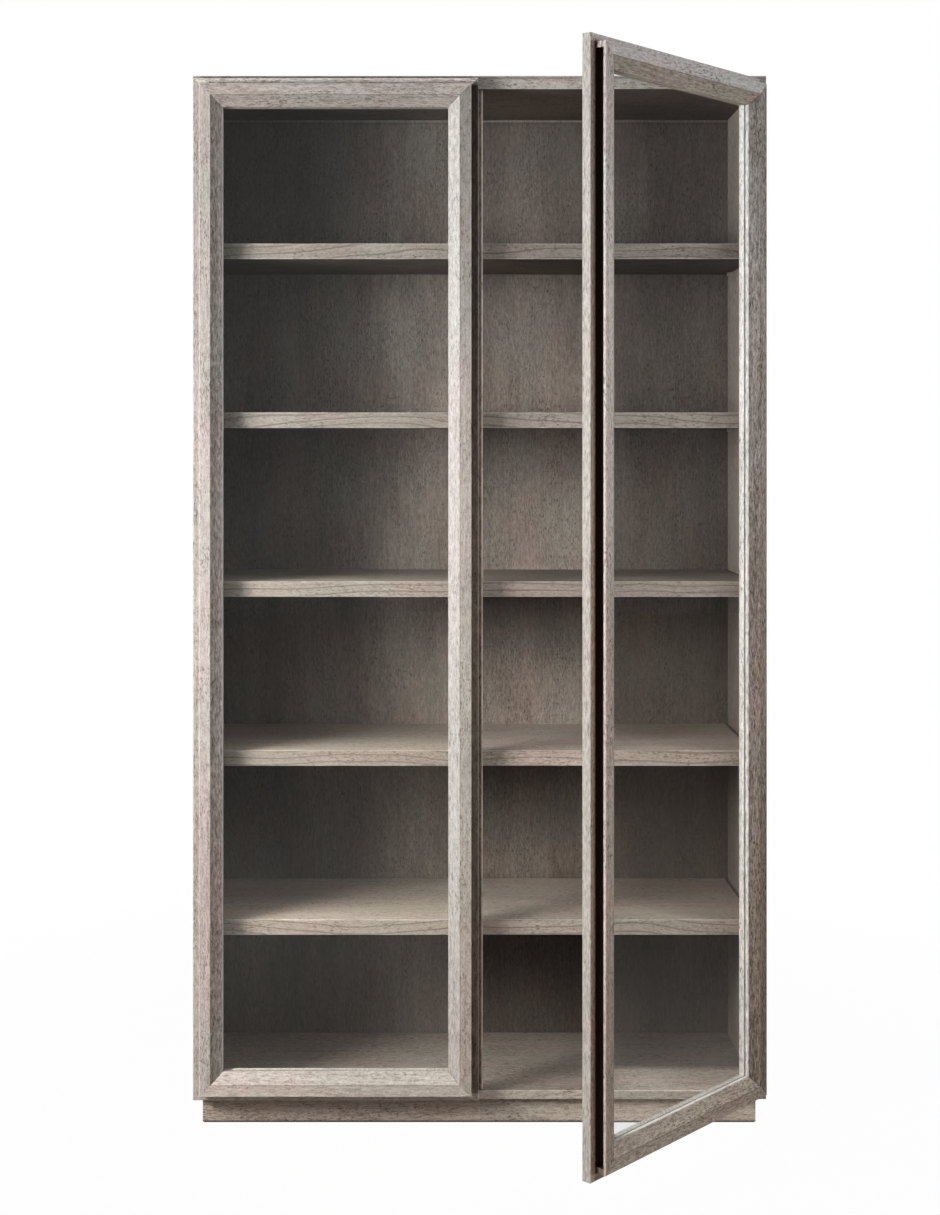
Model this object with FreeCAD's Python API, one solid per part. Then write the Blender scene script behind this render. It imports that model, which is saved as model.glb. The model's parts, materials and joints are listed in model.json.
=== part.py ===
import FreeCAD, Part
import math
import os

from FreeCAD import Vector

# Tall free-standing bookcase with two hinged glass doors. Millimetres, +Z up.
# The origin is on the floor under the middle of the case. The front faces -Y.

# ---- driving dimensions: case ----
caseWidth = 1220.0
caseHeight = 2178.0          # without the plinth
caseDepth = 388.0            # without the doors
sideThickness = 19.0
topThickness = 28.0
bottomThickness = 19.0
backThickness = 9.0
backLap = 8.0                # how far the back panel runs into its rebate
backClearance = 0.5
arris = 1.0                  # small bevel on visible edges

# ---- driving dimensions: plinth ----
plinthHeight = 57.0
plinthInset = 19.0
plinthThickness = 19.0
plinthEase = 3.0             # bevel on the front board's edges
blockSize = 44.0             # corner block, square in plan
blockHeight = 45.0
blockScrewOffset = 14.5      # from the block's middle
plinthScrewInPanel = 11.5    # screw length above the block
padRadius = 13.0
padFootRadius = 12.0
padHeight = 6.0
stemRadius = 4.0
stemLength = 34.0

# ---- driving dimensions: shelves ----
shelfCount = 5
shelfThickness = 33.0
shelfSetBack = 12.0          # behind the front edge of the sides
shelfEndGap = 2.5
shelfBackGap = 1.0
pinShankRadius = 2.5
pinShankLength = 9.0
pinHeadLength = 11.0
pinHeadWidth = 9.0
pinHeadHeight = 7.0
pinInset = 55.0              # from the shelf's front and back edges

# ---- driving dimensions: doors ----
doorSideMargin = 3.0         # case side left showing beside a closed door
doorTopMargin = 9.0
doorBottomMargin = 6.0
doorMeetingGap = 6.0
doorStandOff = 4.0           # gap between a closed door and the case
doorThickness = 44.0
backLayer = 20.0             # thickness of the stepped edge
frameStep = 15.5             # how far the front moulding stands in from the edge
flatWidth = 24.0
bevelWidth = 24.0
bevelDepth = 16.0
lipDepth = 7.0               # straight inner edge in front of the glass
rebateWidth = 9.0
glassThickness = 4.0
glassClearance = 2.0
tapeThickness = 1.0
tapeWidth = 7.0
beadRecess = 2.0             # bead below the door's back face
pullNose = 5.5               # thickness of the lip that fingers hook behind
pullDepth = 12.0
pullEndStop = 12.0           # solid wood left at each end of the pull
openAtRest = 48.0            # degrees, right door

# ---- driving dimensions: lipping behind the left door ----
lippingThickness = 10.0
lippingWidth = 32.0
lippingReach = 7.0           # past the middle of the case
lippingRelief = 0.6
lippingEndGap = 4.0
lippingScrewCount = 6
lippingScrewInset = 150.0    # from the door's top and bottom
lippingScrewEdge = 14.0      # from the door's meeting edge
lippingScrewInDoor = 8.0

# ---- driving dimensions: hinges ----
pinU = 21.0                  # hinge axis from the door's outer edge
pinV = 23.5                  # hinge axis from the door's back face
hingePinRadius = 1.75
hingePinFit = 0.05
eyeRadius = 3.5
armThickness = 4.0
armHeight = 12.0
armReach = 10.5              # how far the goose-neck swings in past the hinge axis
neckRise = 1.0               # reach still missing at the neck's first bend
neckFirstBend = 3.0          # first bend, towards the case from the hinge axis
neckSecondBend = 17.0
neckThirdBend = 2.5          # third bend, behind the front edge of the side
armRoom = 0.5                # free height above and below the arm
cheekThickness = 3.0
cupOuterU = 17.2
cupInnerU = 36.0
cupDepth = 28.6
cupWall = 1.2
cupFit = 0.2                 # between the cup and its mortise
flangeThickness = 1.5
flangeOuterU = 14.5
flangeInnerU = 46.0
flangeHeight = 44.0
notchDepth = 18.4
edgeRelief = 8.5             # bevel on the door's back edge beside the hinges
plateThickness = 5.0
plateLength = 40.0
plateHeight = 50.0
plateSetBack = 21.0          # behind the front edge of the side

# ---- driving dimensions: small parts ----
dowelRadius = 4.0
dowelInPanel = 12.0
dowelInSide = 24.0
dowelCount = 3
dowelFrontInset = 50.0
dowelBackInset = 60.0
holeFit = 0.05
screwHeadRadius = 3.5
screwHeadHeight = 2.0
screwShankRadius = 1.5
backScrewLength = 24.0
backScrewRowCount = 6
backScrewLineCount = 5
backScrewInset = 120.0       # from the inner corners of the case
plateScrewLength = 14.0
plateScrewSpacing = 32.0
cupScrewLength = 15.0
cupScrewSpacing = 32.0
armScrewRadius = 3.0
armScrewHeadRadius = 4.8
armScrewHeadHeight = 2.0
armScrewTipGap = 1.0         # between the screw's tip and the side panel
bumperRadius = 4.0
bumperGap = 0.4
bumperInset = 60.0           # from the door's meeting edge
splineThickness = 6.0
splineLength = 34.0
splineWidth = 24.0
splineFit = 0.1
bradRadius = 0.6
bradLength = 17.0
stileBradCount = 5
railBradCount = 2
stileBradInset = 60.0        # from the corners of the glass opening
railBradInset = 80.0
past = 1.0                   # how far a cutting tool runs past the face that it opens

# ---- derived places ----
halfWidth = caseWidth / 2
insideHalf = halfWidth - sideThickness
frontY = -caseDepth / 2
backY = caseDepth / 2
caseBottomZ = plinthHeight
caseTopZ = plinthHeight + caseHeight
floorZ = caseBottomZ + bottomThickness
ceilingZ = caseTopZ - topThickness
backFaceY = backY - backThickness
bayHeight = (ceilingZ - floorZ - shelfCount * shelfThickness) / (shelfCount + 1)
shelfPitch = bayHeight + shelfThickness

doorWidth = (caseWidth - 2 * doorSideMargin - doorMeetingGap) / 2
doorHeight = caseHeight - doorTopMargin - doorBottomMargin
doorBackY = frontY - doorStandOff
doorBottomZ = caseBottomZ + doorBottomMargin
doorEdgeX = halfWidth - doorSideMargin
memberWidth = frameStep + flatWidth + bevelWidth
bevelFootV = doorThickness - bevelDepth
shoulderV = bevelFootV - lipDepth
rebateW = memberWidth - rebateWidth
glassFrontV = shoulderV - tapeThickness
glassBackV = glassFrontV - glassThickness
sideInnerU = sideThickness - doorSideMargin
armLineU = sideInnerU + plateThickness + armThickness / 2
slotHalf = armHeight / 2 + armRoom
cupHalf = slotHalf + cheekThickness

# hinges sit a third of the way into bays 1, 3, 4 and 6, clear of every shelf
hingeHeights = [
    floorZ + bayHeight / 3,
    floorZ + 2 * shelfPitch + bayHeight / 3,
    floorZ + 3 * shelfPitch + bayHeight * 2 / 3,
    floorZ + 5 * shelfPitch + bayHeight * 2 / 3,
]
hingeLocalZ = [z - doorBottomZ for z in hingeHeights]


# ---- helpers ----
def box(xs, ys, zs):
    size = [hi - lo for lo, hi in (xs, ys, zs)]
    return Part.makeBox(size[0], size[1], size[2], Vector(xs[0], ys[0], zs[0]))


def rod(radius, start, end):
    start = Vector(*start)
    run = Vector(*end) - start
    return Part.makeCylinder(radius, run.Length, start, run)


def prism(points, run):
    corners = [Vector(*p) for p in points]
    wire = Part.makePolygon(corners + corners[:1])
    return Part.Face(wire).extrude(Vector(*run))


def joined(shapes):
    body = shapes[0].fuse(shapes[1:]) if len(shapes) > 1 else shapes[0]
    return body.removeSplitter()


def group(shapes):
    return Part.makeCompound(shapes)


def spread(low, high, count):
    step = (high - low) / (count - 1)
    return [low + i * step for i in range(count)]


def save(name, shape):
    shape.exportStep("parts/" + name + ".step")


def screw(head, direction, length):
    """A wood screw whose head's outer face is at head and whose tip lies along direction."""
    at = Vector(*head)
    way = Vector(*direction)
    cap = Part.makeCylinder(screwHeadRadius, screwHeadHeight, at, way)
    shank = Part.makeCylinder(screwShankRadius, length, at, way)
    return joined([cap, shank])


def screwHole(head, direction, length):
    at = Vector(*head)
    way = Vector(*direction)
    cap = Part.makeCylinder(screwHeadRadius + holeFit, screwHeadHeight, at, way)
    shank = Part.makeCylinder(screwShankRadius + holeFit, length, at, way)
    return cap.fuse(shank)


def easedBoard(xs, ys, zs, ease=arris):
    """A board along X whose two front edges are slightly bevelled."""
    y0, y1 = ys
    z0, z1 = zs
    section = [(xs[0], y0, z0 + ease), (xs[0], y0 + ease, z0), (xs[0], y1, z0),
               (xs[0], y1, z1), (xs[0], y0 + ease, z1), (xs[0], y0, z1 - ease)]
    return prism(section, (xs[1] - xs[0], 0, 0))


# ---- case ----
dowelYs = spread(frontY + dowelFrontInset, backY - dowelBackInset, dowelCount)


def dowelPlaces():
    places = []
    for side in (-1, 1):
        x = side * (halfWidth - sideThickness / 2)
        for y in dowelYs:
            places.append((x, y, ceilingZ + dowelInPanel, ceilingZ - dowelInSide))
            places.append((x, y, floorZ - dowelInPanel, floorZ + dowelInSide))
    return places


def dowels(fit):
    return [rod(dowelRadius + fit, (x, y, z0), (x, y, z1)) for x, y, z0, z1 in dowelPlaces()]


def backScrewPlaces():
    sideX = insideHalf + backLap / 2
    places = []
    for z in spread(floorZ + backScrewInset, ceilingZ - backScrewInset, backScrewRowCount):
        places += [(-sideX, backY, z), (sideX, backY, z)]
    reach = insideHalf - backScrewInset
    for x in spread(-reach, reach, backScrewLineCount):
        places += [(x, backY, floorZ - backLap / 2), (x, backY, ceilingZ + backLap / 2)]
    return places


def backScrewHoles():
    return [screwHole(p, (0, -1, 0), backScrewLength) for p in backScrewPlaces()]


def backRebate():
    reach = insideHalf + backLap
    return box((-reach, reach), (backFaceY, backY + past), (floorZ - backLap, ceilingZ + backLap))


def shelfTopZ(number):
    """Shelf 1 is the highest."""
    return floorZ + (shelfCount - number + 1) * shelfPitch


def pinPlaces():
    frontPinY = frontY + shelfSetBack + pinInset
    rearPinY = backFaceY - shelfBackGap - pinInset
    places = []
    for number in range(1, shelfCount + 1):
        z = shelfTopZ(number) - shelfThickness
        for side in (-1, 1):
            places += [(side, frontPinY, z), (side, rearPinY, z)]
    return places


def pinShank(side, y, z, fit):
    axisZ = z - pinHeadHeight / 2
    start = (side * insideHalf, y, axisZ)
    return rod(pinShankRadius + fit, start, (side * (insideHalf + pinShankLength + fit), y, axisZ))


def shelfPin(side, y, z):
    xs = sorted((side * insideHalf, side * (insideHalf - pinHeadLength)))
    head = box(xs, (y - pinHeadWidth / 2, y + pinHeadWidth / 2), (z - pinHeadHeight, z))
    return joined([head, pinShank(side, y, z, 0.0)])


def sidePanel(side):
    xs = sorted((side * halfWidth, side * insideHalf))
    outer, inner = side * halfWidth, side * insideHalf
    section = [(outer, frontY + arris, floorZ), (outer - side * arris, frontY, floorZ),
               (inner + side * arris, frontY, floorZ), (inner, frontY + arris, floorZ),
               (inner, backY, floorZ), (outer, backY, floorZ)]
    panel = prism(section, (0, 0, ceilingZ - floorZ))
    tools = dowels(holeFit) + backScrewHoles() + [backRebate()]
    tools += [pinShank(s, y, z, holeFit) for s, y, z in pinPlaces() if s == side]
    tools += hingeSideHoles(side)
    near = box(xs, (frontY, backY), (caseBottomZ, caseTopZ))
    return panel.cut([t for t in tools if t.distToShape(near)[0] == 0])


def topPanel():
    panel = easedBoard((-halfWidth, halfWidth), (frontY, backY), (ceilingZ, caseTopZ))
    return panel.cut(dowels(holeFit) + backScrewHoles() + [backRebate()])


def bottomPanel():
    panel = easedBoard((-halfWidth, halfWidth), (frontY, backY), (caseBottomZ, floorZ))
    return panel.cut(dowels(holeFit) + backScrewHoles() + [backRebate()] + plinthScrewHoles())


def backPanel():
    reach = insideHalf + backLap - backClearance
    low = floorZ - backLap + backClearance
    high = ceilingZ + backLap - backClearance
    return box((-reach, reach), (backFaceY, backY), (low, high)).cut(backScrewHoles())


def shelf(number):
    top = shelfTopZ(number)
    reach = insideHalf - shelfEndGap
    return easedBoard((-reach, reach), (frontY + shelfSetBack, backFaceY - shelfBackGap),
                      (top - shelfThickness, top))


# ---- plinth ----
plinthX = halfWidth - plinthInset
plinthY = caseDepth / 2 - plinthInset


def blockPlaces():
    x = plinthX - plinthThickness - blockSize / 2
    y = plinthY - plinthThickness - blockSize / 2
    return [(sx * x, sy * y) for sx in (-1, 1) for sy in (-1, 1)]


def plinthScrewPlaces():
    """One screw up through each corner block, inboard of the levelling foot."""
    return [(x - math.copysign(blockScrewOffset, x), y, caseBottomZ - blockHeight)
            for x, y in blockPlaces()]


plinthScrewLength = blockHeight + plinthScrewInPanel


def plinthScrewHoles():
    return [screwHole(p, (0, 0, 1), plinthScrewLength) for p in plinthScrewPlaces()]


def plinthBlocks():
    blocks = []
    half = blockSize / 2
    for (x, y), hole in zip(blockPlaces(), plinthScrewHoles()):
        block = box((x - half, x + half), (y - half, y + half),
                    (caseBottomZ - blockHeight, caseBottomZ))
        stem = rod(stemRadius + holeFit, (x, y, padHeight), (x, y, padHeight + stemLength))
        blocks.append(block.cut([hole, stem]))
    return group(blocks)


def levellingFeet():
    feet = []
    for x, y in blockPlaces():
        pad = Part.makeCone(padFootRadius, padRadius, padHeight, Vector(x, y, 0))
        stem = rod(stemRadius, (x, y, padHeight), (x, y, padHeight + stemLength))
        feet.append(joined([pad, stem]))
    return group(feet)


def plinthFront():
    """The front board, with its two lower corners eased as well."""
    board = easedBoard((-plinthX, plinthX), (-plinthY, -plinthY + plinthThickness),
                       (0, plinthHeight), plinthEase)
    x, e = plinthX, plinthEase
    outline = [(-x + e, 0), (x - e, 0), (x, e), (x, plinthHeight), (-x, plinthHeight), (-x, e)]
    corners = [(a, -plinthY, z) for a, z in outline]
    return board.common(prism(corners, (0, plinthThickness, 0)))


def plinthBoards():
    inner = plinthX - plinthThickness
    zs = (0, plinthHeight)
    back = box((-plinthX, plinthX), (plinthY - plinthThickness, plinthY), zs)
    ys = (-plinthY + plinthThickness, plinthY - plinthThickness)
    middle = plinthThickness / 2
    return {"plinth_front": plinthFront(), "plinth_back": back,
            "plinth_left": box((-plinthX, -inner), ys, zs),
            "plinth_right": box((inner, plinthX), ys, zs),
            "plinth_stretcher": box((-middle, middle), ys, zs)}


# ---- doors: built in door space, X = distance from the hinged edge, Y = -v, Z from the bottom
def doorPoint(u, v, z=0.0):
    return (u, -v, z)


def memberSection():
    """Cross-section as (distance in from the outer edge, distance out from the back face)."""
    flatEnd = frameStep + flatWidth
    return [(0, arris), (0, backLayer - arris), (arris, backLayer), (frameStep, backLayer),
            (frameStep, doorThickness - arris), (frameStep + arris, doorThickness),
            (flatEnd, doorThickness), (memberWidth, bevelFootV), (memberWidth, shoulderV),
            (rebateW, shoulderV), (rebateW, 0), (arris, 0)]


def beadSection():
    inner = memberWidth
    return [(rebateW, beadRecess), (rebateW, glassBackV), (inner, glassBackV),
            (inner, beadRecess + 2 * arris), (inner - 2 * arris, beadRecess)]


def mitreZone(member):
    """The share of the door that belongs to one member, split at 45 degrees at each corner."""
    m = memberWidth + past
    w, h = doorWidth, doorHeight
    low, right, top = -past, w + past, h + past
    zones = {
        "hinge_stile": [(low, low), (low, top), (m, h - m), (m, m)],
        "meeting_stile": [(right, low), (right, top), (w - m, h - m), (w - m, m)],
        "top_rail": [(low, top), (right, top), (w - m, h - m), (m, h - m)],
        "bottom_rail": [(low, low), (right, low), (w - m, m), (m, m)],
    }
    corners = [(x, past, z) for x, z in zones[member]]
    return prism(corners, (0, -doorThickness - 2 * past, 0))


def mouldedMember(member, section):
    w, h = doorWidth, doorHeight
    if member == "hinge_stile":
        bar = prism([doorPoint(a, v) for a, v in section], (0, 0, h))
    elif member == "meeting_stile":
        bar = prism([doorPoint(w - a, v) for a, v in section], (0, 0, h))
    elif member == "top_rail":
        bar = prism([doorPoint(0, v, h - a) for a, v in section], (w, 0, 0))
    else:
        bar = prism([doorPoint(0, v, a) for a, v in section], (w, 0, 0))
    return bar.common(mitreZone(member))


def doorBox(us, vs, zs):
    return box(us, (-vs[1], -vs[0]), zs)


def edgeReliefTool():
    reach = edgeRelief + past
    corners = [doorPoint(-past, -past, -past), doorPoint(reach, -past, -past),
               doorPoint(-past, reach, -past)]
    return prism(corners, (0, 0, doorHeight + 2 * past))


pullFloorU = doorWidth - frameStep - pullDepth
pullNoseV = doorThickness - pullNose


def pullGroove():
    ends = frameStep + pullEndStop
    return doorBox((pullFloorU, doorWidth - frameStep + past), (backLayer, pullNoseV),
                   (ends, doorHeight - ends))


def pullLayers(stile):
    """Splits the meeting stile into its back board, moulding, lip strip and end stops."""
    us = (pullFloorU, doorWidth + past)
    zs = (-past, doorHeight + past)
    layers = [
        doorBox((0, doorWidth + past), (-past, backLayer), zs),
        doorBox((0, pullFloorU), (backLayer, doorThickness + past), zs),
        doorBox(us, (pullNoseV, doorThickness + past), zs),
        doorBox(us, (backLayer, pullNoseV), zs),
    ]
    return group([solid for layer in layers for solid in stile.common(layer).Solids])


def hingeMortises():
    tools = []
    ledge = min(notchDepth, backLayer - arris)
    half = cupHalf + cupFit
    for z in hingeLocalZ:
        cup = doorBox((cupOuterU - cupFit, cupInnerU + cupFit), (-past, cupDepth + cupFit),
                      (z - half, z + half))
        mouth = doorBox((-past, cupOuterU), (-past, ledge), (z - slotHalf, z + slotHalf))
        tools += [cup, mouth]
    return tools


def cupScrewPlaces():
    u = (cupInnerU + flangeInnerU) / 2
    places = []
    for z in hingeLocalZ:
        for sign in (-1, 1):
            places.append(doorPoint(u, -flangeThickness, z + sign * cupScrewSpacing / 2))
    return places


def cupScrewHoles():
    return [screwHole(p, (0, -1, 0), cupScrewLength) for p in cupScrewPlaces()]


def splinePlaces():
    """Distance from the hinged edge, height and turn of each corner's tongue."""
    c = rebateW / 2
    w, h = doorWidth, doorHeight
    return [(c, c, -45.0), (w - c, c, 45.0), (c, h - c, 45.0), (w - c, h - c, -45.0)]


def spline(place, fit):
    """A loose tongue across one mitre, in the back layer of the frame."""
    u, z, turn = place
    a, b, t = splineLength / 2 + fit, splineWidth / 2 + fit, splineThickness / 2 + fit
    mid = backLayer / 2
    tongue = box((-a, a), (-t, t), (-b, b))
    tongue.rotate(Vector(0, 0, 0), Vector(0, 1, 0), turn)
    tongue.translate(Vector(u, -mid, z))
    return tongue


def bradPlaces():
    """Start in the bead, direction out into the frame."""
    v = (beadRecess + glassBackV) / 2
    w, h, m = doorWidth, doorHeight, memberWidth
    places = []
    for z in spread(m + stileBradInset, h - m - stileBradInset, stileBradCount):
        places.append((doorPoint(m, v, z), (-1, 0, 0)))
        places.append((doorPoint(w - m, v, z), (1, 0, 0)))
    for u in spread(m + railBradInset, w - m - railBradInset, railBradCount):
        places.append((doorPoint(u, v, m), (0, 0, -1)))
        places.append((doorPoint(u, v, h - m), (0, 0, 1)))
    return places


def brads(fit):
    return [Part.makeCylinder(bradRadius + fit, bradLength + fit, Vector(*at), Vector(*way))
            for at, way in bradPlaces()]


lippingScrewLength = lippingThickness + lippingScrewInDoor


def lippingScrewPlaces():
    u = doorWidth - lippingScrewEdge
    zs = spread(lippingScrewInset, doorHeight - lippingScrewInset, lippingScrewCount)
    return [doorPoint(u, -lippingThickness, z) for z in zs]


def lippingScrewHoles():
    return [screwHole(p, (0, -1, 0), lippingScrewLength) for p in lippingScrewPlaces()]


def frameMember(member, leaf):
    shape = mouldedMember(member, memberSection())
    tools = [spline(p, splineFit) for p in splinePlaces()] + brads(holeFit) + cupScrewHoles()
    if member == "meeting_stile":
        tools.append(pullGroove())
        if leaf == "left":
            tools += lippingScrewHoles()
        return pullLayers(shape.cut(tools))
    tools.append(edgeReliefTool())
    if member == "hinge_stile":
        tools += hingeMortises()
    return shape.cut(tools)


def glassPane():
    edge = rebateW + glassClearance
    return doorBox((edge, doorWidth - edge), (glassBackV, glassFrontV),
                   (edge, doorHeight - edge))


def ring(outer, inner, vs):
    solid = doorBox((outer, doorWidth - outer), vs, (outer, doorHeight - outer))
    hole = doorBox((inner, doorWidth - inner), (vs[0] - past, vs[1] + past),
                   (inner, doorHeight - inner))
    return solid.cut(hole)


def glazingTape():
    outer = rebateW + glassClearance
    return ring(outer, outer + tapeWidth, (glassFrontV, shoulderV))


def glassBeads():
    beads = []
    for member in ("hinge_stile", "meeting_stile", "top_rail", "bottom_rail"):
        beads.append(mouldedMember(member, beadSection()).cut(brads(holeFit)))
    return group(beads)


def hingeCups():
    cups = []
    outside = -flangeThickness - past
    for z in hingeLocalZ:
        whole = doorBox((cupOuterU, cupInnerU), (0, cupDepth), (z - cupHalf, z + cupHalf))
        room = doorBox((cupOuterU - past, cupInnerU - cupWall), (outside, cupDepth - cupWall),
                       (z - slotHalf, z + slotHalf))
        flange = doorBox((flangeOuterU, flangeInnerU), (-flangeThickness, 0),
                         (z - flangeHeight / 2, z + flangeHeight / 2))
        mouth = doorBox((flangeOuterU - past, cupInnerU - cupWall), (outside, past),
                        (z - slotHalf, z + slotHalf))
        bore = rod(hingePinRadius, doorPoint(pinU, pinV, z - cupHalf - past),
                   doorPoint(pinU, pinV, z + cupHalf + past))
        cups.append(joined([whole, flange]).cut([room, mouth, bore] + cupScrewHoles()))
    return group(cups)


def hingePins():
    return group([rod(hingePinRadius, doorPoint(pinU, pinV, z - cupHalf),
                      doorPoint(pinU, pinV, z + cupHalf)) for z in hingeLocalZ])


def doorBumpers():
    u = doorWidth - bumperInset
    topZ = (ceilingZ - doorBottomZ + doorHeight) / 2
    bottomZ = (bottomThickness - doorBottomMargin) / 2
    reach = doorStandOff - bumperGap
    return group([rod(bumperRadius, doorPoint(u, 0, z), doorPoint(u, -reach, z))
                  for z in (bottomZ, topZ)])


def lipping():
    """Strip on the left door's back that the right door closes against."""
    right = doorWidth + doorMeetingGap / 2 + lippingReach
    low = floorZ - doorBottomZ + lippingEndGap
    high = ceilingZ - doorBottomZ - lippingEndGap
    strip = doorBox((right - lippingWidth, right), (-lippingThickness, 0), (low, high))
    relief = doorBox((doorWidth, right + past), (-lippingRelief, past), (low - past, high + past))
    return strip.cut([relief] + lippingScrewHoles())


# ---- hinge parts on the case, in the space of a closed door ----
def armPath():
    """Goose-neck from the pin's eye, round the side's front corner, to the plate."""
    neckU = pinU + armReach
    end = doorStandOff + plateSetBack + plateLength
    return [(pinU, pinV), (neckU - neckRise, pinV - neckFirstBend),
            (neckU, pinV - neckSecondBend), (armLineU, -doorStandOff - neckThirdBend),
            (armLineU, -end)]


def bar(a, b, height, z):
    """A flat bar of the arm's thickness from a to b in plan."""
    run = Vector(b[0] - a[0], -(b[1] - a[1]), 0)
    across = Vector(-run.y, run.x, 0)
    across.normalize()
    across.multiply(armThickness / 2)
    start = Vector(a[0], -a[1], z - height / 2)
    points = [start + across, start - across, start - across + run, start + across + run]
    wire = Part.makePolygon(points + points[:1])
    return Part.Face(wire).extrude(Vector(0, 0, height))


def plateScrewPlaces():
    v = -(doorStandOff + plateSetBack + plateLength / 2)
    places = []
    for z in hingeLocalZ:
        for sign in (-1, 1):
            at = (sideInnerU + plateThickness, v, z + sign * plateScrewSpacing / 2)
            places.append(doorPoint(*at))
    return places


def armScrewPlaces():
    v = -(doorStandOff + plateSetBack + plateLength / 2)
    u = armLineU + armThickness / 2
    return [doorPoint(u, v, z) for z in hingeLocalZ]


def armScrews(fit):
    screws = []
    length = armThickness + plateThickness - armScrewTipGap
    for at in armScrewPlaces():
        start = Vector(*at)
        shank = Part.makeCylinder(armScrewRadius + fit, length, start, Vector(-1, 0, 0))
        head = Part.makeCylinder(armScrewHeadRadius, armScrewHeadHeight, start, Vector(1, 0, 0))
        screws.append(shank if fit else joined([shank, head]))
    return screws


def plateScrewHoles():
    return [screwHole(p, (-1, 0, 0), plateScrewLength) for p in plateScrewPlaces()]


def hingeArms():
    arms = []
    path = armPath()
    for z in hingeLocalZ:
        pieces = [bar(path[i], path[i + 1], armHeight, z) for i in range(len(path) - 1)]
        low, high = z - armHeight / 2, z + armHeight / 2
        for u, v in path[1:-1]:
            pieces.append(rod(armThickness / 2, doorPoint(u, v, low), doorPoint(u, v, high)))
        pieces.append(rod(eyeRadius, doorPoint(pinU, pinV, low), doorPoint(pinU, pinV, high)))
        bore = rod(hingePinRadius + hingePinFit, doorPoint(pinU, pinV, low - past),
                   doorPoint(pinU, pinV, high + past))
        arms.append(joined(pieces).cut([bore] + armScrews(holeFit)))
    return group(arms)


def hingePlates():
    back = -(doorStandOff + plateSetBack + plateLength)
    front = -(doorStandOff + plateSetBack)
    plates = []
    for z in hingeLocalZ:
        plate = doorBox((sideInnerU, sideInnerU + plateThickness), (back, front),
                        (z - plateHeight / 2, z + plateHeight / 2))
        plates.append(plate.cut(plateScrewHoles() + armScrews(holeFit)))
    return group(plates)


# ---- from door space to the case ----
def placeLeft(shape):
    placed = shape.copy()
    placed.translate(Vector(-doorEdgeX, doorBackY, doorBottomZ))
    return placed


def placeRightClosed(shape):
    return placeLeft(shape).mirror(Vector(0, 0, 0), Vector(1, 0, 0))


def placeRightOpen(shape):
    placed = placeRightClosed(shape)
    placed.rotate(Vector(doorEdgeX - pinU, doorBackY - pinV, 0), Vector(0, 0, 1), openAtRest)
    return placed


def hingeSideHoles(side):
    place = placeLeft if side < 0 else placeRightClosed
    return [place(hole) for hole in plateScrewHoles()]


def doorParts(leaf):
    members = ("hinge_stile", "meeting_stile", "top_rail", "bottom_rail")
    parts = {leaf + "_" + member: frameMember(member, leaf) for member in members}
    parts[leaf + "_glass_pane"] = glassPane()
    parts[leaf + "_glazing_tape"] = glazingTape()
    parts[leaf + "_glass_beads"] = glassBeads()
    parts[leaf + "_bead_brads"] = group(brads(0.0))
    parts[leaf + "_corner_splines"] = group([spline(p, 0.0) for p in splinePlaces()])
    parts[leaf + "_hinge_cups"] = hingeCups()
    parts[leaf + "_hinge_pins"] = hingePins()
    parts[leaf + "_cup_screws"] = group([screw(p, (0, -1, 0), cupScrewLength)
                                         for p in cupScrewPlaces()])
    parts[leaf + "_door_bumpers"] = doorBumpers()
    return parts


def hingeCaseParts(leaf):
    return {
        leaf + "_hinge_arms": hingeArms(),
        leaf + "_hinge_plates": hingePlates(),
        leaf + "_arm_screws": group(armScrews(0.0)),
        leaf + "_plate_screws": group([screw(p, (-1, 0, 0), plateScrewLength)
                                       for p in plateScrewPlaces()]),
    }


def main():
    os.makedirs("parts", exist_ok=True)
    save("left_side_panel", sidePanel(-1))
    save("right_side_panel", sidePanel(1))
    save("top_panel", topPanel())
    save("bottom_panel", bottomPanel())
    save("back_panel", backPanel())
    for number in range(1, shelfCount + 1):
        save("shelf_" + str(number), shelf(number))
    save("shelf_pins", group([shelfPin(*place) for place in pinPlaces()]))
    save("case_dowels", group(dowels(0.0)))
    save("back_screws", group([screw(p, (0, -1, 0), backScrewLength) for p in backScrewPlaces()]))
    for name, board in plinthBoards().items():
        save(name, board)
    save("plinth_blocks", plinthBlocks())
    save("plinth_screws", group([screw(p, (0, 0, 1), plinthScrewLength)
                                 for p in plinthScrewPlaces()]))
    save("levelling_feet", levellingFeet())
    for name, shape in hingeCaseParts("left").items():
        save(name, placeLeft(shape))
    for name, shape in hingeCaseParts("right").items():
        save(name, placeRightClosed(shape))
    for name, shape in doorParts("left").items():
        save(name, placeLeft(shape))
    save("lipping", placeLeft(lipping()))
    save("lipping_screws", placeLeft(group([screw(p, (0, -1, 0), lippingScrewLength)
                                            for p in lippingScrewPlaces()])))
    for name, shape in doorParts("right").items():
        save(name, placeRightOpen(shape))


main()
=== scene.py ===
import bpy
import json
import math
from collections import namedtuple
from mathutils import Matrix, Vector


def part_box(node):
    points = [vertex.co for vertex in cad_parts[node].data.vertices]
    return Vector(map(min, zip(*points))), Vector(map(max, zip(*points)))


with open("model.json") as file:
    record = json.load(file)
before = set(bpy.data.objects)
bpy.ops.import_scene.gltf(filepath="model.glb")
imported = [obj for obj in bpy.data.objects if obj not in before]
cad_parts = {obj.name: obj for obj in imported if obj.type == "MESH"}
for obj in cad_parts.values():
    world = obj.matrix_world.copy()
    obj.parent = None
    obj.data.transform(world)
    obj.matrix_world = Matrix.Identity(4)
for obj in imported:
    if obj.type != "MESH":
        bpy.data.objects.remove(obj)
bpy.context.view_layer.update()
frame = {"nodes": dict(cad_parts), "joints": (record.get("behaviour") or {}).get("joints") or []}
nodes = frame["nodes"]
print("frame loaded:", len(nodes), "nodes")

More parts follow.
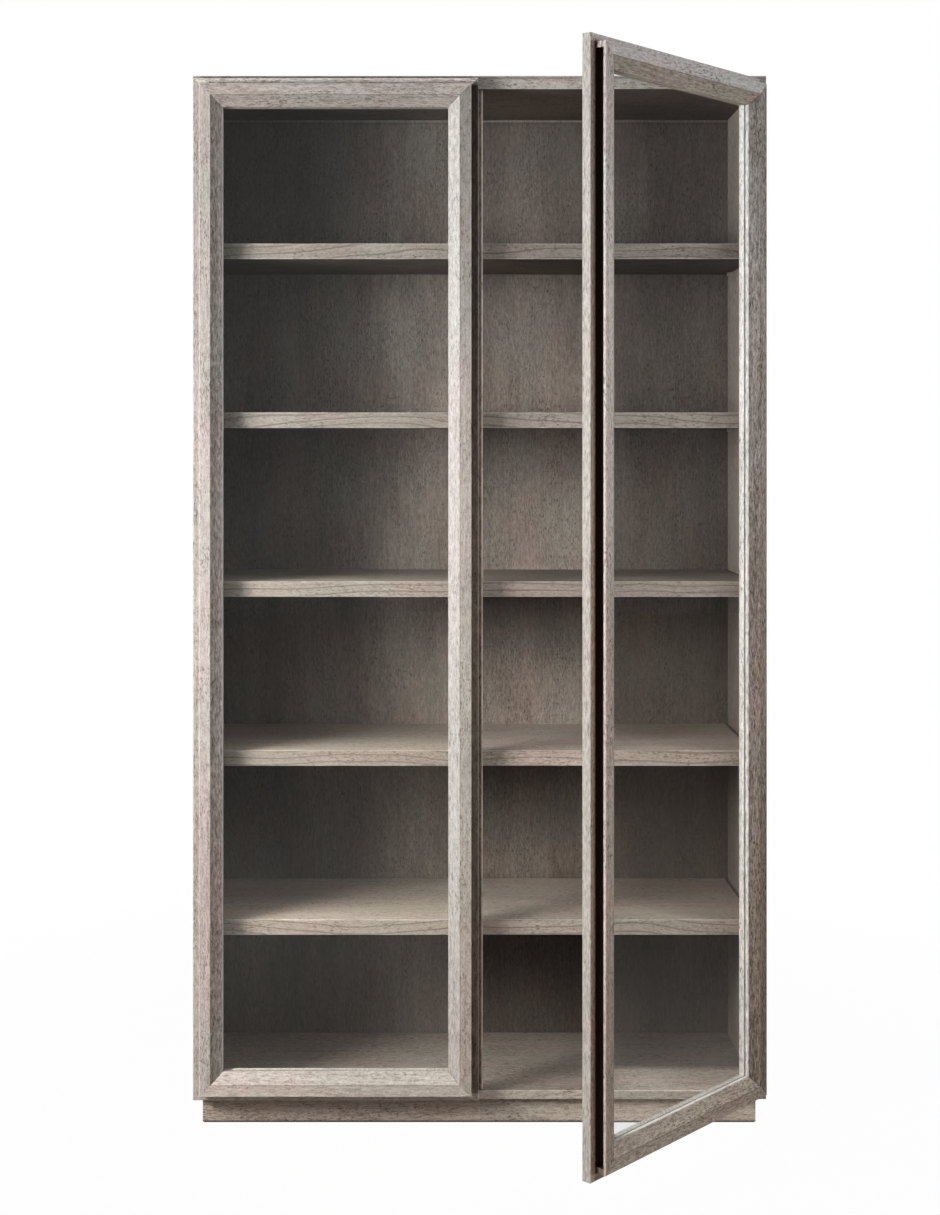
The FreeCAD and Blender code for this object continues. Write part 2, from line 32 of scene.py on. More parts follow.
# the shared frame's ways
rightWay = (1, 0, 0)
leftWay = (-1, 0, 0)
backWay = (0, 1, 0)
frontWay = (0, -1, 0)
upWay = (0, 0, 1)
downWay = (0, 0, -1)


class Wire:  # one socket, so that shader maths reads as maths
    def __init__(self, finish, socket):
        self.finish = finish
        self.socket = socket

    def calc(self, operation, *values, **settings):
        settings["operation"] = operation
        return self.finish.node("ShaderNodeMath", settings, dict(enumerate(values)))

    def __add__(self, other):
        return self.calc("ADD", self, other)

    def __radd__(self, other):
        return self.calc("ADD", other, self)

    def __sub__(self, other):
        return self.calc("SUBTRACT", self, other)

    def __rsub__(self, other):
        return self.calc("SUBTRACT", other, self)

    def __mul__(self, other):
        return self.calc("MULTIPLY", self, other)

    def __rmul__(self, other):
        return self.calc("MULTIPLY", other, self)

    def root(self):
        return self.calc("SQRT", self)

    def sine(self):
        return self.calc("SINE", self)

    def limited(self):  # held between 0 and 1
        return self.calc("ADD", self, 0.0, use_clamp=True)

    def cycle(self):  # from 0 to 1 over each whole number
        return self.calc("FRACT", self)

    def least(self, other):
        return self.calc("MINIMUM", self, other)

    def most(self, other):
        return self.calc("MAXIMUM", self, other)

    def size(self):
        return self.calc("ABSOLUTE", self)

    def ramp(self, low, high):  # 0 below low, 1 above high, smooth between
        return self.finish.node("ShaderNodeMapRange", {"interpolation_type": "SMOOTHSTEP"},
                                {"Value": self, "From Min": low, "From Max": high})

    def near(self, value, full, none):  # 1 within full of the value, 0 beyond none
        return 1 - (self - value).size().ramp(full, none)

    def within(self, low, high, soft=0.0002):  # 1 between the two, else 0
        return self.ramp(low - soft, low + soft) * (1 - self.ramp(high - soft, high + soft))


class Finish:  # the tree of one material, or of the world
    def __init__(self, name, owner=None):
        self.owner = owner or bpy.data.materials.new(name)
        self.owner.use_nodes = True
        self.tree = self.owner.node_tree
        self.tree.nodes.clear()

    def node(self, kind, settings=None, sockets=None, out=0):
        made = self.tree.nodes.new(kind)
        for key, value in (settings or {}).items():
            if key == "stops":
                while len(made.color_ramp.elements) < len(value):
                    made.color_ramp.elements.new(0.5)
                for element, (place, colour) in zip(made.color_ramp.elements, value):
                    element.position = place
                    element.color = (*colour, 1.0)
            else:
                setattr(made, key, value)
        for key, value in (sockets or {}).items():
            if isinstance(value, Wire):
                self.tree.links.new(value.socket, made.inputs[key])
            elif made.inputs[key].type == "RGBA" and len(value) == 3:
                made.inputs[key].default_value = (*value, 1.0)
            else:
                made.inputs[key].default_value = value
        return Wire(self, made.outputs[out]) if made.outputs else None

    def place(self):  # metres in the shared frame, riding with the doors
        return self.node("ShaderNodeTexCoord", out="Object")

    def dot(self, place, way):
        return self.node("ShaderNodeVectorMath", {"operation": "DOT_PRODUCT"},
                         {0: place, 1: way}, 1)

    def joined(self, x, y, z):
        return self.node("ShaderNodeCombineXYZ", {}, {0: x, 1: y, 2: z})

    def noise(self, place, detail, roughness):
        return self.node("ShaderNodeTexNoise", {"noise_dimensions": "3D"},
                         {"Vector": place, "Scale": 1.0, "Detail": detail, "Roughness": roughness})

    def blend(self, factor, first, second, how="MIX"):
        return self.node("ShaderNodeMix", {"data_type": "RGBA", "blend_type": how},
                         {0: factor, 6: first, 7: second}, 2)

    def tinted(self, colour, tint, factor=1.0):
        return self.blend(factor, colour, tint, "MULTIPLY")

    def lit(self, colour, level):  # level is a plain number or a wire
        return self.tinted(colour, self.joined(level, level, level))

    def ray(self, kind):
        return self.node("ShaderNodeLightPath", out=kind)

    def surface(self, shader):
        self.node("ShaderNodeOutputMaterial", {}, {"Surface": shader})
        return self.owner


def dress(material, *names):
    for name in names:
        piece = nodes[name]
        if not piece.material_slots:
            piece.data.materials.append(material)
        for slot in piece.material_slots:
            slot.material = material


joints = {joint["name"]: joint for joint in frame["joints"]}
openAngle = math.radians(-joints["right_door_hinge"]["range_deg"][0])   # of the right door at rest
rightAlong = (-math.cos(openAngle), -math.sin(openAngle), 0.0)
rightOut = (math.sin(openAngle), -math.cos(openAngle), 0.0)

# each space: along the grain, across it, and into the board
upright = (upWay, rightWay, frontWay)
lengthways = (rightWay, upWay, frontWay)
frontToBack = (backWay, rightWay, upWay)
rightUpright = (upWay, rightAlong, rightOut)
rightLengthways = (rightAlong, upWay, rightOut)

plain = (1.0, 1.0, 1.0)
oakLook = {
    "dark": (0.215, 0.172, 0.142),
    "mid": (0.535, 0.483, 0.443),
    "light": (0.733, 0.698, 0.672),
    "fleckColour": (0.120, 0.090, 0.070),
    "ringColour": (0.235, 0.170, 0.125),
    "dirtAndShadeColour": (0.030, 0.019, 0.012),
    "paleColour": (0.815, 0.815, 0.805),
    "lowTint": (1.000, 0.955, 0.905),   # warmer near the floor
    "lowReach": (0.1, 2.1),     # metres above the floor over which it fades
    "coolTint": (0.965, 1.000, 0.990),
    "pinkTint": (1.030, 0.983, 0.988),
    "hueEdge": (0.36, 0.64),    # from cool to pink
    "hueShift": 0.6,            # metres along the grain, away from the other patterns
    "seedAlong": 1.7,           # metres that one step of the seed moves the grain
    "seedAcross": 0.31,
    "sweep": 0.050,             # how far the grain wanders sideways
    "ripple": 0.004,
    "streak": 1.50,             # strength of each pattern in the tone
    "long": 0.45,
    "cloud": 0.40,
    "fine": 0.95,
    "fleck": 0.78,              # darkness of the pores
    "fleckEdge": (0.54, 0.64),  # higher makes fewer of them
    "fleckCrowd": (0.40, 0.62),
    "fleckLeast": 0.35,         # between the places where pores crowd
    "ring": 0.10,               # darkness of the growth rings
    "ringSpacing": 0.0085,      # metres between them
    "ringHeart": 0.110,         # distance of the tree's heart behind the board
    "ringWidth": 0.62,          # nearer 1 makes thinner lines
    "ringFull": 0.98,
    "ringPlain": 0.45,
    "ringStreak": 0.90,
    "ringOver": 0.93,           # how much of the rings a face that looks up loses
    "faceTurn": (0.60, 0.95),   # how far a face looks up or down
    "under": 0.50,              # painted shade on faces that look down
    "underTint": (1.04, 0.83, 0.64),
    "underTinted": 0.8,
    "over": 1.0,                # painted light on faces that look up
    "shade": 1.0,               # brightness of the whole board
    "wornStreak": 1.6,          # wear shows most on the light streaks
    "wornShift": 0.2,
    "bump": 0.45,
    "bumpDepth": 0.0006,        # metres
    "grainRelief": 0.35,
    "fleckRelief": 0.80,
    "roughness": 0.64,
    "roughChange": 0.20,
    "specular": 0.30,
}
oakNoise = {                    # cycles per metre across and along the grain, detail, roughness
    "wander": (5, 1.6, 2.0, 0.50),
    "ripple": (30, 5, 2.0, 0.50),
    "cloud": (7, 2.4, 3.0, 0.55),
    "long": (120, 3.5, 2.0, 0.55),
    "streak": (250, 60, 3.0, 0.68),
    "pores": (400, 105, 2.0, 0.60),
    "fine": (640, 250, 2.0, 0.60),
    "crowd": (26, 9, 2.0, 0.50),
    "hue": (11, 5, 2.0, 0.50),
}


def oakGrain(finish, look, place, space, seed):  # the patterns that colour and relief share
    along, across, into = (finish.dot(place, way) for way in space)
    along = along + seed * look["seedAlong"]
    across = across + seed * look["seedAcross"]

    def pattern(kind, sideways, lengthwise=along):
        crossCycles, longCycles, detail, roughness = oakNoise[kind]
        spot = finish.joined(sideways * crossCycles, into * crossCycles, lengthwise * longCycles)
        return finish.noise(spot, detail, roughness)

    wander = (pattern("wander", across) - 0.5) * look["sweep"]
    ripple = (pattern("ripple", across) - 0.5) * look["ripple"]
    bent = across + wander + ripple
    deep = into + look["ringHeart"]
    radius = (bent * bent + deep * deep).root()
    streak = pattern("streak", bent)
    fine = pattern("fine", bent)
    crowd = pattern("crowd", across).ramp(*look["fleckCrowd"])
    crowded = look["fleckLeast"] + crowd * (1 - look["fleckLeast"])
    tone = (0.5 + (streak - 0.5) * look["streak"]
            + (pattern("long", bent) - 0.5) * look["long"]
            + (pattern("cloud", across) - 0.5) * look["cloud"]
            + (fine - 0.5) * look["fine"])
    return {
        "streak": streak,
        "fine": fine,
        "tone": tone.limited(),
        "flecks": pattern("pores", bent).ramp(*look["fleckEdge"]) * crowded,
        "rings": (radius * (2 * math.pi / look["ringSpacing"])).sine() * 0.5 + 0.5,
        "hue": pattern("hue", across, along + look["hueShift"]).ramp(*look["hueEdge"]),
    }


def oakColour(finish, look, grain, place):
    faceWay = finish.node("ShaderNodeNewGeometry", out="Normal")
    under = finish.dot(faceWay, downWay).ramp(*look["faceTurn"])
    over = finish.dot(faceWay, upWay).ramp(*look["faceTurn"])
    stops = [(0.0, look["dark"]), (0.5, look["mid"]), (1.0, look["light"])]
    colour = finish.node("ShaderNodeValToRGB", {"stops": stops}, {"Fac": grain["tone"]})
    lines = grain["rings"].ramp(look["ringWidth"], look["ringFull"])
    lines = lines * (look["ringPlain"] + grain["streak"] * look["ringStreak"])
    lines = lines * (1 - over * look["ringOver"])
    colour = finish.blend((lines * look["ring"]).limited(), colour, look["ringColour"])
    colour = finish.blend(grain["flecks"] * look["fleck"], colour, look["fleckColour"])
    colour = finish.tinted(colour, finish.blend(grain["hue"], look["coolTint"], look["pinkTint"]))
    low = 1 - finish.dot(place, upWay).ramp(*look["lowReach"])
    colour = finish.tinted(colour, finish.blend(low, plain, look["lowTint"]))
    # painted shade on faces that look down, with a brown tint, and painted light on faces that look up
    level = (1 - under * look["under"] + over * (look["over"] - 1)) * look["shade"]
    colour = finish.lit(colour, level)
    return finish.tinted(colour, look["underTint"], under * look["underTinted"])


def oak(name, space, seed, marks=None, **changes):
    look = dict(oakLook, **changes)
    finish = Finish(name)
    place = finish.place()
    grain = oakGrain(finish, look, place, space, seed)
    streak = grain["streak"]
    colour = oakColour(finish, look, grain, place)
    if marks:
        wearAndHighlight, dirtAndShade, shade, tint = marks(finish, place, streak)
        colour = finish.tinted(finish.lit(colour, shade), tint)
        wearAndHighlight = (streak * look["wornStreak"] - look["wornShift"]) * wearAndHighlight
        colour = finish.blend(wearAndHighlight, colour, look["paleColour"])
        colour = finish.blend(dirtAndShade, colour, look["dirtAndShadeColour"])
    relief = (streak * look["grainRelief"] + grain["fine"] * look["grainRelief"]
              - grain["flecks"] * look["fleckRelief"])
    normal = finish.node("ShaderNodeBump", {}, {
        "Strength": look["bump"], "Distance": look["bumpDepth"], "Height": relief})
    rough = (look["roughness"] + grain["flecks"] * look["roughChange"]
             - (streak - 0.5) * look["roughChange"])
    shader = finish.node("ShaderNodeBsdfPrincipled", {}, {
        "Base Color": colour, "Roughness": rough, "Normal": normal,
        "Specular IOR Level": look["specular"]})
    return finish.surface(shader)


# Each board's marks give wear and painted highlights, dirt and painted shade, brightness with painted
# light and shade, and tint over its faces.
# A pair of numbers in the looks below is where a ramp starts and where it ends, in metres.

boardLook = {
    "edge": (0.0004, 0.0026),   # in from an edge
    "edgeWear": 0.45,
    "topSkin": (0.0012, 0.0010),    # down from the top face
}


def boardEdge(finish, place, box):  # metres to the nearest edge of a plain board
    near = []
    for axis, low, high in zip((rightWay, backWay, upWay), *box):
        spot = finish.dot(place, axis)
        near.append((spot - low).least(high - spot))
    first, second, third = near
    return first.least(second).most(first.most(second).least(third))


def edgeWear(finish, place, box):
    return (1 - boardEdge(finish, place, box).ramp(*boardLook["edge"])) * boardLook["edgeWear"]


def topFace(finish, place, box):
    start, end = boardLook["topSkin"]
    return finish.dot(place, upWay).ramp(box[1][2] - start, box[1][2] - end)


def boardMarks(name):
    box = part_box(name)

    def marks(finish, place, streak):
        return edgeWear(finish, place, box), 0.0, 1.0, plain
    return marks


sideLook = {
    "outside": 1.5,             # brightness of the outer face
    "outsideFrom": (0.0025, 0.0045),    # past the inner face
    "lowLoss": {"left_side_panel": 0.0, "right_side_panel": 0.34},  # painted shade, darker low down inside
    "lowReach": (0.55, 1.45),
}


def sideMarks(name):
    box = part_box(name)
    inner = min(abs(box[0][0]), abs(box[1][0]))
    start, end = sideLook["outsideFrom"]

    def marks(finish, place, streak):
        outside = finish.dot(place, rightWay).size().ramp(inner + start, inner + end)
        low = 1 - finish.dot(place, upWay).ramp(*sideLook["lowReach"])
        inside = 1 - low * sideLook["lowLoss"][name]
        shade = inside + outside * (sideLook["outside"] - inside)
        return edgeWear(finish, place, box), 0.0, shade, plain
    return marks


shelfFade = {
    "ends": {                   # painted light and shade: brightness of each shelf at its left and right
        "shelf_1": (0.98, 0.71),
        "shelf_2": (0.91, 0.83),
        "shelf_3": (0.95, 0.81),
        "shelf_4": (0.87, 1.06),
        "shelf_5": (0.96, 0.99),
    },
    "turn": (-0.20, 0.20),      # from left to right
    "middle": (-0.04, 0.04),    # where the top's painted shadow of the meeting stile starts
    "middleEnd": (0.22, 0.34),
    "middleLoss": 0.25,
    "depth": (-0.16, 0.05),     # from front to back, for the top's painted light at the front and painted shade at the back
    "frontGain": 0.26,
    "frontGainEnd": (-0.06, 0.03),
    "frontLeast": 0.03,
    "backLoss": 0.24,
    "darkening": 0.85,              # painted shade in the gap on the top, beside the right side panel
    "shadeFrom": (0.0060, 0.0040),  # in from the end
}


# Painted light and shade on each shelf, and painted shade in the gap at its right end.
def shelfMarks(name):
    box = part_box(name)
    left, right = shelfFade["ends"][name]
    start, end = shelfFade["shadeFrom"]

    def marks(finish, place, streak):
        sideways = finish.dot(place, rightWay)
        top = topFace(finish, place, box)
        beside = sideways.ramp(box[1][0] - start, box[1][0] - end)
        shade = left + sideways.ramp(*shelfFade["turn"]) * (right - left)
        middle = sideways.ramp(*shelfFade["middle"]) * (1 - sideways.ramp(*shelfFade["middleEnd"]))
        shade = shade - top * middle * shelfFade["middleLoss"]
        away = finish.dot(place, backWay).ramp(*shelfFade["depth"])
        gain = (1 - sideways.ramp(*shelfFade["frontGainEnd"])) * shelfFade["frontGain"]
        gain = gain + shelfFade["frontLeast"]
        shade = shade * (1 + top * ((1 - away) * gain - away * shelfFade["backLoss"]))
        return edgeWear(finish, place, box), beside * top * shelfFade["darkening"], shade, plain
    return marks


bottomFade = {                  # painted light and shade on the top face from left to right, brightest at the front right
    "left": 1.12,
    "middle": 0.77,
    "middleFrom": (-0.05, 0.03),
    "middleFront": 0.24,        # added in front
    "middleDepth": (-0.17, -0.03),
    "right": 0.64,
    "rightFrom": (0.23, 0.33),
    "rightFront": 1.30,
    "rightDepth": (-0.078, -0.034),
}


def bottomMarks(name):
    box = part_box(name)

    def marks(finish, place, streak):
        sideways = finish.dot(place, rightWay)
        depth = finish.dot(place, backWay)
        middle = (1 - depth.ramp(*bottomFade["middleDepth"])) * bottomFade["middleFront"]
        middle = bottomFade["middle"] + middle
        right = (1 - depth.ramp(*bottomFade["rightDepth"])) * bottomFade["rightFront"]
        right = bottomFade["right"] + right
        left = bottomFade["left"]
        level = left + sideways.ramp(*bottomFade["middleFrom"]) * (middle - left)
        level = level + sideways.ramp(*bottomFade["rightFrom"]) * (right - middle)
        return edgeWear(finish, place, box), 0.0, 1 + topFace(finish, place, box) * (level - 1), plain
    return marks


topLook = {
    "front": (0.0015, 0.0005),  # in from the front face
    "paintedLineDrop": 0.0044,         # a painted shadow line this far below the upper edge
    "paintedLineSpan": (0.0010, 0.0028),
    "paintedLineShade": 0.36,
    "lowRise": 0.0005,          # worn edges, low and high
    "lowLine": (0.0003, 0.0018),
    "lowWear": 0.4,
    "highDrop": 0.0004,
    "highLine": (0.0005, 0.0018),
    "highWear": 0.5,
}


def topMarks(name):
    low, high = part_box(name)
    start, end = topLook["front"]

    def marks(finish, place, streak):
        height = finish.dot(place, upWay)
        front = finish.dot(place, frontWay).ramp(-low[1] - start, -low[1] - end)
        paintedLine = height.near(high[2] - topLook["paintedLineDrop"], *topLook["paintedLineSpan"])
        lowEdge = height.near(low[2] + topLook["lowRise"], *topLook["lowLine"])
        highEdge = height.near(high[2] - topLook["highDrop"], *topLook["highLine"])
        wearAndHighlight = lowEdge * topLook["lowWear"] + highEdge * topLook["highWear"]
        return front * wearAndHighlight, paintedLine * front * topLook["paintedLineShade"], 1.0, plain
    return marks


plinthFade = {
    "foot": (0.0025, 0.0070),   # painted shade where it meets the floor
    "footShade": 0.82,
    "head": (0.040, 0.055),     # and painted shadow under the bottom board
    "headShade": 0.30,
    "left": 0.96,               # painted light: brightness, rising to the right
    "rightFrom": (0.05, 0.45),
    "rightGain": 0.38,
}


def plinthMarks(name):
    def marks(finish, place, streak):
        height = finish.dot(place, upWay)
        foot = (1 - height.ramp(*plinthFade["foot"])) * plinthFade["footShade"]
        head = height.ramp(*plinthFade["head"]) * plinthFade["headShade"]
        right = finish.dot(place, rightWay).ramp(*plinthFade["rightFrom"]) * plinthFade["rightGain"]
        return 0.0, foot + head, plinthFade["left"] + right, plain
    return marks


# Painted light and shade on the back panel: side panel's shadow, light past its edge, open door's shadow,
# shade under each shelf.
backFade = {
    "level": 0.66,              # painted light and shade: brightness low down
    "gain": 0.46,               # added higher up
    "gainFrom": (0.30, 0.95),
    "gainEnd": (1.75, 2.10),    # where the gain is mostly lost again
    "gainLoss": 0.80,
    "leaf": 0.84,               # brightness of the left part, in the side panel's painted shadow
    "shadowEdgeGain": 0.70,           # painted light added past the shadow's edge
    "shadowEdgeFrom": (-0.30, -0.17),
    "middle": (-0.05, 0.03),    # where the middle part starts, with less of that light
    "middleLoss": 0.59,
    "right": (0.24, 0.32),      # where the right part starts, in the open door's painted shadow
    "rightLoss": 0.16,
    "rightHigh": (1.84, 1.94),
    "rightHighGain": 0.30,
    "bayFloor": 0.0005,         # below the boards' tops, so that they hide each step
    "bayFrom": (-0.12, 0.02),   # painted shade under the shelf above: the bays darken towards their heads, fully from here
    "bayLeast": 0.30,           # and by this share on the left
    "bayRight": 0.50,           # how much less they do on the right
    "bayFoot": 0.36,            # gain at a bay's foot, and loss up to its head
    "bayLoss": 0.80,
    "deep": (0.438, 1.160),     # heights of the bays that darken twice as much
    "deepSoft": 0.008,
    "deepLoss": 0.84,
    "low": (0.36, 0.50),        # the lowest bay, with more painted shade
    "lowLoss": 0.36,
    "outside": 2.1,             # brightness of the face towards the wall
    "outsideFrom": (0.0010, 0.0040),    # past the inner face
    "paintedLineDrop": 0.0025,         # a painted highlight line under the top board, and a painted shadow line under it
    "paintedLineSpan": (0.0012, 0.0030),
    "paintedLineLight": 0.22,
    "headDrop": 0.0080,
    "headLine": (0.0008, 0.0020),
    "headShade": 0.35,
}


def backMarks(name):
    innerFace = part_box(name)[0][1]
    start, end = backFade["outsideFrom"]
    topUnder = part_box("top_panel")[0][2]
    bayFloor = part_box("bottom_panel")[1][2] - backFade["bayFloor"]
    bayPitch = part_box("shelf_4")[1][2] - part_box("shelf_5")[1][2]

    def marks(finish, place, streak):
        height = finish.dot(place, upWay)
        sideways = finish.dot(place, rightWay)
        middle = sideways.ramp(*backFade["middle"])
        right = sideways.ramp(*backFade["right"])
        inMiddle = middle * (1 - right)
        gain = backFade["shadowEdgeGain"] - middle * backFade["middleLoss"]
        loss = backFade["rightLoss"] - height.ramp(*backFade["rightHigh"]) * backFade["rightHighGain"]
        leaf = backFade["leaf"] + sideways.ramp(*backFade["shadowEdgeFrom"]) * gain - right * loss
        bay = ((height - bayFloor) * (1 / bayPitch)).cycle()
        share = backFade["bayLeast"] + sideways.ramp(*backFade["bayFrom"]) * (1 - backFade["bayLeast"])
        share = share * (1 - right * backFade["bayRight"])
        fade = share * (backFade["bayFoot"] - bay * backFade["bayLoss"])
        deep = height.within(*backFade["deep"], backFade["deepSoft"]) * inMiddle
        fade = fade + deep * (backFade["bayFoot"] - bay * backFade["deepLoss"])
        low = inMiddle * (1 - height.ramp(*backFade["low"])) * backFade["lowLoss"]
        high = height.ramp(*backFade["gainEnd"]) * backFade["gainLoss"]
        level = backFade["level"] + height.ramp(*backFade["gainFrom"]) * backFade["gain"] * (1 - high)
        shade = level * leaf * (1 + fade) * (1 - low)
        outside = finish.dot(place, backWay).ramp(innerFace + start, innerFace + end)
        shade = shade + outside * (backFade["outside"] - shade)
        paintedLine = height.near(topUnder - backFade["paintedLineDrop"], *backFade["paintedLineSpan"])
        head = height.near(topUnder - backFade["headDrop"], *backFade["headLine"])
        return paintedLine * backFade["paintedLineLight"], head * backFade["headShade"], shade, plain
    return marks


insideLook = {
    "mid": (0.300, 0.258, 0.226),
    "light": (0.450, 0.400, 0.360),
    "dark": (0.110, 0.082, 0.065),
}
shelfLook = {
    "mid": (0.380, 0.328, 0.290),
    "light": (0.526, 0.474, 0.438),
    "dark": (0.190, 0.145, 0.115),
    "ring": 0.58,
    "ringColour": (0.110, 0.075, 0.052),
    "ringSpacing": 0.0165,
    "ringWidth": 0.88,
    "sweep": 0.120,
    "streak": 0.90,
    "under": 0.66,
}
plinthLook = {
    "mid": (0.500, 0.442, 0.394),
    "light": (0.700, 0.637, 0.582),
    "dark": (0.130, 0.096, 0.072),
    "fleck": 0.80,
    "streak": 1.35,
}
backLook = {
    "dark": (0.075, 0.062, 0.055),
    "mid": (0.138, 0.116, 0.104),
    "light": (0.218, 0.188, 0.170),
    "fleckColour": (0.042, 0.031, 0.026),
    "paleColour": (0.62, 0.58, 0.54),
    "coolTint": (0.945, 0.990, 0.970),
    "pinkTint": (1.045, 0.985, 0.965),
    "streak": 1.45,
    "cloud": 1.45,
    "fleck": 0.85,
    "ring": 0.05,
}
caseLook = {                    # each board's grain space, seed, marks and changes to the oak, whose shade, over and under are painted light and shade
    "top_panel": (lengthways, 3.1, topMarks, {"under": 0.80, "shade": 0.84, "over": 1.5}),
    "bottom_panel": (lengthways, 4.7, bottomMarks,
                     {"over": 0.68, "shade": 0.95, "lowTint": (1.015, 0.938, 0.880)}),
    "left_side_panel": (upright, 1.3, sideMarks, insideLook),
    "right_side_panel": (upright, 2.9, sideMarks, insideLook),
    "shelf_1": (lengthways, 5.2, shelfMarks, dict(shelfLook, shade=0.72)),
    "shelf_2": (lengthways, 6.9, shelfMarks, dict(shelfLook, shade=0.86)),
    "shelf_3": (lengthways, 7.4, shelfMarks, dict(shelfLook, shade=0.97, over=1.2)),
    "shelf_4": (lengthways, 8.8, shelfMarks, dict(shelfLook, shade=1.08, over=1.45)),
    "shelf_5": (lengthways, 9.6, shelfMarks, dict(shelfLook, shade=1.06, over=1.37)),
    "plinth_front": (lengthways, 10.1, plinthMarks, plinthLook),
    "plinth_back": (lengthways, 11.2, boardMarks, plinthLook),
    "plinth_left": (frontToBack, 12.4, boardMarks, plinthLook),
    "plinth_right": (frontToBack, 13.5, boardMarks, plinthLook),
    "plinth_stretcher": (frontToBack, 14.1, boardMarks, plinthLook),
    "plinth_blocks": (upright, 15.3, boardMarks, plinthLook),
    "back_panel": (upright, 16.8, backMarks, backLook),
}
for name, (space, seed, marksFor, changes) in caseLook.items():
    dress(oak(name + "_oak", space, seed, marksFor(name), **changes), name)
print("case done")

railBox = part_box("left_top_rail")
Spot = namedtuple("Spot", "height inward end out")  # inward and end run from the nearest outer edges
doorSize = {                    # in from the door's outer edges, and out from its back
    "width": railBox[1][0] - railBox[0][0],
    "bottom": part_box("left_bottom_rail")[0][2],
    "top": railBox[1][2],
    "pinFromEdge": 0.021,
    "pinFromBack": 0.0235,
    "ledge": 0.0155,            # where the moulding begins
    "flat": 0.0395,             # where its flat ends and its bevel begins
    "sight": 0.0632,            # where its inner edge begins
    "step": 0.020,              # the ledge's face
    "pullFloor": 0.0290,        # the far side of the finger pull
    "pullFront": 0.0386,
}
moulding = {                    # a line's pair: full within the first, gone beyond the second
    "faceFrom": (0.018, 0.021),         # out past the ledge
    "flatEnd": 0.0010,
    "bevelFrom": 0.0006,
    "mitreLine": (0.0002, 0.0009),
    "mitreDark": 0.65,
    "mitreFlat": 0.53,          # less on the flat
    "cornerLine": (0.0004, 0.0030),     # between ledge and moulding
    "cornerShade": 0.75,
    "foldLine": (0.0002, 0.0014),       # between flat and bevel
    "foldFace": (0.041, 0.043),
    "foldDark": 0.40,
    "rimLine": (0.0006, 0.0020),        # the flat's outer rim
    "rimFace": (0.0425, 0.0435),
    "edge": (0.0004, 0.0020),
    "wear": 0.55,
    "sightLine": 0.0012,
    "topFadeReach": (1.2, 2.15),        # heights
    "doorReach": (0.2, 2.1),
    "side": (0.0004, 0.0012),   # the door's outer edge
    "sideLevel": 1.10,          # strength of the outer edge's painted shade low down
    "sideLoss": 0.15,           # and less high up
    "ledgeEnd": (0.0150, 0.0156),       # just before the moulding
}
pullLook = {                    # the finger pull in each meeting stile, and the ledge beside it
    "outFrom": 0.0195,
    "inFrom": 0.0158,
    "dark": 0.97,
    "ledgeLine": (0.0003, 0.0006),
    "ledgeStart": (0.0135, 0.0160),     # from the door's top and bottom
    "ledgeReach": (0.9, 1.9),
    "ledgeLow": 0.29,           # less painted shade low down
    "ledgeStreak": 0.50,
    "stopLine": (0.0001, 0.0003),       # the pull's end stops
    "stopFrom": 0.0203,
    "stopReach": (0.5, 1.0),
    "stopDark": 0.80,
    "brownTint": (1.05, 0.88, 0.74),
}
memberLook = {                  # what a member has unless its own look below says otherwise
    "shade": 1.0,
    "bevel": 1.0,               # painted shade: brightness of the bevel beside the flat
    "topFade": 0.0,             # painted shade: the flat's loss at the door's top
    "rise": 0.0,                # painted light: the bevel's gain from bottom to top
    "slope": 0.0,               # painted light: the bevel's gain towards the glass
    "sightHighlight": 0.0,           # painted highlight along the glass
    # pale wear and painted light on the bevel
    "bevelWearAndLight": 0.0,
    "stepFade": 0.0,            # painted shade on the ledge, painted light where negative
    "contrast": (0.0, 0.0),     # more streaks on flat and bevel
    "tints": (plain, plain),    # of flat and bevel, partly the colour of painted light
    "grain": {},                # changes to the oak
}
